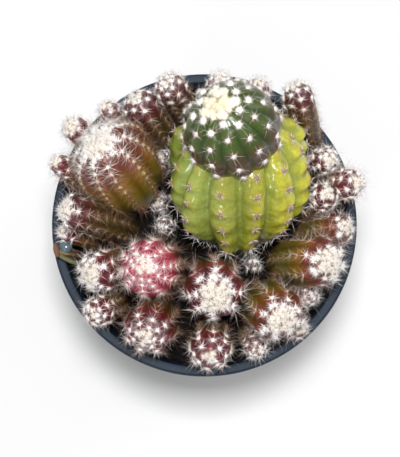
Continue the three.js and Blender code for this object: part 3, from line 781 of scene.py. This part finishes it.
def buildStock(shape):
    random = np.random.default_rng(51)
    body = plantedBody(shape["foot"], shape["apex"], shape["radius"], shape["neck"], shape["rise"],
                       shape["form"], 61, shape["swell"], shape["crown"])

    # brighter yellow towards the right, painted light, and darker green towards the left, painted shade;
    # greener low down and yellower towards the top
    def ripenessAndPaintedLight(points, depth):
        right = np.clip((points[:, 0] / mm - shape["apex"][0]) / shape["radius"], -1, 1)
        low = 1 - smooth(90, 106, points[:, 2] / mm)
        return np.clip(0.66 + np.where(right > 0, 0.3, 0.45) * right - 0.32 * low, 0, 1)

    skin = skinPiece("skin_main_stem", body, shape["form"]["ribs"] * 14, 120, ripenessAndPaintedLight)
    finishPiece(skin, greenFlesh, "main_stem")
    spots = areolesOf(body, shape["lowest"] * mm)
    apart = np.linalg.norm(spots["centre"] - np.array(headShape["centre"]) * mm, axis=1)
    spots = pick(spots, apart > shape["headGap"] * mm)
    low = pick(spots, spots["centre"][:, 2] < shape["fringe"] * mm)
    spines = [fan(spots, 7, {"lift": 30, "spread": 14, "length": 2.7, "width": 0.26, "shade": 0.3}, random),
              fan(low, 7, {"lift": 28, "spread": 16, "length": 5.4, "width": 0.22, "shade": 0.1}, random)]
    finishPiece(pieceOf("spines_main_stem", spines), spineFibre)
    felt = [pads(spots, {"width": 1.5, "thick": 0.4, "shade": 0.8}, random, roundLump),
            fan(spots, 44, {"lift": 36, "spread": 24, "length": 1.25, "width": 0.24, "shade": 0.15}, random)]
    finishPiece(pieceOf("felt_main_stem", felt), feltFibre)


def buildHead(shape):
    random = np.random.default_rng(52)
    body = ballBody(shape["centre"], shape["direction"], shape["radius"], shape["halfHeight"],
                    shape["form"], 62)

    # dark green round the crown, and a purple-brown flush lower down
    def ripenessAndPaintedLight(points, depth):
        return np.clip(1.0 - smooth(13, 26, depth / mm), 0, 1)

    skin = skinPiece("skin_main_head", body, shape["form"]["ribs"] * 12, 96, ripenessAndPaintedLight)
    finishPiece(skin, headFlesh, "main_head")
    spots = areolesOf(body, shape["lowest"] * mm)
    spots = pick(spots, spots["depth"] < shape["bare"] * mm)
    crown = pick(spots, spots["depth"] < shape["tuft"] * mm)
    outer = pick(spots, spots["depth"] >= shape["firstWool"] * mm)
    first = pick(outer, outer["depth"] < shape["laterWool"] * mm)
    rest = pick(outer, outer["depth"] >= shape["laterWool"] * mm)
    spines = [fan(outer, 7, {"lift": 30, "spread": 16, "length": 4.2, "width": 0.13, "shade": 0.35}, random),
              fan(crown, 5, {"lift": 55, "spread": 18, "length": 4.2, "width": 0.2, "shade": 0.2}, random)]
    finishPiece(pieceOf("spines_main_head", spines), spineFibre)
    wool = [pads(first, {"width": 1.8, "thick": 0.5, "shade": 0.1}, random, roundLump),
            fan(first, 150, {"lift": 40, "spread": 30, "length": 1.75, "width": 0.34, "shade": 0.0}, random),
            pads(rest, {"width": 1.2, "thick": 0.4, "shade": 0.6}, random, roundLump),
            fan(rest, 70, {"lift": 36, "spread": 26, "length": 1.5, "width": 0.3, "shade": 0.25}, random)]
    finishPiece(pieceOf("wool_main_head", wool), headWool)
    # the crown wool: clumps of soft tufts, which give it an uneven outline
    clumps = shape["clumps"]
    clumpTurn = np.arange(clumps) * goldenAngle + random.uniform(-0.3, 0.3, clumps)
    clumpDepth = shape["crownReach"] * np.sqrt((np.arange(clumps) + 0.3) / clumps)
    owner = np.repeat(np.arange(clumps), shape["perClump"])
    east = clumpDepth[owner] * np.cos(clumpTurn[owner]) + random.normal(0, shape["scatter"], len(owner))
    north = clumpDepth[owner] * np.sin(clumpTurn[owner]) + random.normal(0, shape["scatter"], len(owner))
    fromTip = np.hypot(east, north)
    tufts = spotsAt(body, 1 - fromTip * mm / body["meridian"], np.arctan2(north, east))
    tufts["ageAndShade"] = 0.4 * (1 - smooth(2.0, 5.0, fromTip))  # yellower in the middle
    soft = [pads(tufts, {"width": 1.3, "thick": 0.35, "shade": 0.4, "raised": 0}, random, roundLump),
            fan(tufts, 130, {"lift": 46, "spread": 30, "length": 1.7, "width": 0.19, "shade": 0.05}, random)]
    finishPiece(pieceOf("crown_wool_main_head", soft), crownFibre)


buildStock(stockShape)
buildHead(headShape)
print("main stem and head done")

witheredShape = {
    "foot": (-40.5, -10.5), "apex": (-46.5, -10, 93), "radius": 2.0, "neck": 0.7, "rise": 0.7,
    "form": {"ribs": 5, "furrow": 0.32, "breadth": 1.4, "knob": 0.2, "ironed": 0.0, "sharpness": 1.0,
             "stagger": 0.0, "first": 0.0, "flat": 0.0, "wild": 0.5, "turn": 0.0, "pitch": 3.0 * mm,
             "young": 1.0, "areole": 0.8 * mm}}
# Dried cactus skin: papery, brown, with no gloss left.
driedSkin = fleshMaterial("dried_brown_cactus_skin", [(0.0, "#4a3826"), (0.5, "#7a5a3c"), (1.0, "#8c7a4c")],
                          "#2c2018", "#8a7a68", gloss=0.7, coat=0.0)


def buildWithered(shape):
    body = plantedBody(shape["foot"], shape["apex"], shape["radius"], shape["neck"], shape["rise"],
                       shape["form"], 63)
    return skinPiece("skin_withered_stem", body, 60, 50, lambda points, depth: 1 - smooth(0, 12 * mm, depth))


finishPiece(buildWithered(witheredShape), driedSkin, "withered_stem")
# A dried bud: a glossy grey-blue bead, rust brown on its husk, olive on the shed skin, and waxy all
# over. Name, centre and half sizes in mm, turn about x, y and z in degrees, colour, roughness.
scraps = [
    ("dried_bud_bead", (-44.6, -8.6, 92.6), (2.1, 2.0, 1.7), (0, 0, 20), "#4a5a60", 0.2),
    ("bud_husk", (-47.6, -9.6, 93.0), (1.0, 2.4, 0.8), (0, 30, 12), "#64402c", 0.8),
    ("shed_skin", (-43.8, -12.6, 91.4), (3.8, 0.8, 1.0), (20, 12, -24), "#565230", 0.7),
]
for name, centre, halves, turns, colour, roughness in scraps:
    bpy.ops.mesh.primitive_uv_sphere_add(segments=24, ring_count=16, radius=1,
                                         location=[c * mm for c in centre],
                                         rotation=[radians(turn) for turn in turns],
                                         scale=[half * mm for half in halves])
    bpy.ops.object.transform_apply(location=True, rotation=True, scale=True)
    scrap = bpy.context.object
    scrap.name = scrap.data.name = name
    scrapSkin = newMaterial(name + "_skin", {"Base Color": toLinear(colour), "Roughness": roughness,
                                             "Coat Weight": 0.4, "Coat Roughness": roughness})[0]
    finishPiece(scrap, scrapSkin)
print("withered stem done")

# Matt white paper with no shine.
floorPaper = newMaterial("white_studio_floor", {"Base Color": toLinear("#e4e4e4"), "Roughness": 0.9,
                                                "Specular IOR Level": 0.1})[0]
bpy.ops.mesh.primitive_plane_add(size=4, location=(0, 0, 0))
floor = bpy.context.object
floor.name = "studio_floor"
floor.data.materials.append(floorPaper)

world = bpy.data.worlds.new("studio_world")
bpy.context.scene.world = world
world.use_nodes = True
for key, value in {"Color": toLinear("#ffffff"), "Strength": 0.46}.items():
    world.node_tree.nodes["Background"].inputs[key].default_value = value

aim = (0, 0, 0.1)  # where the lamps point
lamps = [  # name, place, size, watts
    ("key_softbox", (0.0, 0.014, 0.58), 0.08, 2.78),
    ("side_fill", (0.5, 0.3, 0.5), 0.3, 0.6),
    ("front_strip", (-0.3, -0.5, 0.55), 0.12, 0.5),
]
for name, spot, size, watts in lamps:
    bpy.ops.object.light_add(type="AREA", location=spot)
    lamp = bpy.context.object
    lamp.name = name
    lamp.data.size, lamp.data.energy = size, watts
    away = np.array(spot) - np.array(aim)
    lean = np.arccos(away[2] / np.linalg.norm(away))
    lamp.rotation_euler = (lean, 0, np.arctan2(away[1], away[0]) + pi / 2)

# nearly straight above: the frame's height and how far its middle lies off the pot's, in pixels, the
# scale in pixels a mm at the rim, the tilt in degrees, and the rest in mm
cameraView = {"rows": 457, "middle": (-4.4, -5.9), "scale": 3.06, "tilt": 7, "distance": 380, "sensor": 36}


def placeCamera(view):
    tilt, scale = radians(view["tilt"]), view["scale"]
    upwards, back = np.array([0, cos(tilt), sin(tilt)]), np.array([0, -sin(tilt), cos(tilt)])
    aside, along = view["middle"]
    target = np.array([aside / scale, 0, potShape["height"]]) + upwards * along / scale
    bpy.ops.object.camera_add(location=(target + back * view["distance"]) * mm, rotation=(tilt, 0, 0))
    camera = bpy.context.object
    camera.data.sensor_width = view["sensor"]
    camera.data.lens = view["sensor"] * scale * view["distance"] / view["rows"]
    camera.data.clip_start, camera.data.clip_end = 0.01, 10
    bpy.context.scene.camera = camera


placeCamera(cameraView)
bpy.context.scene.view_settings.view_transform = "Standard"
print("light and camera done")
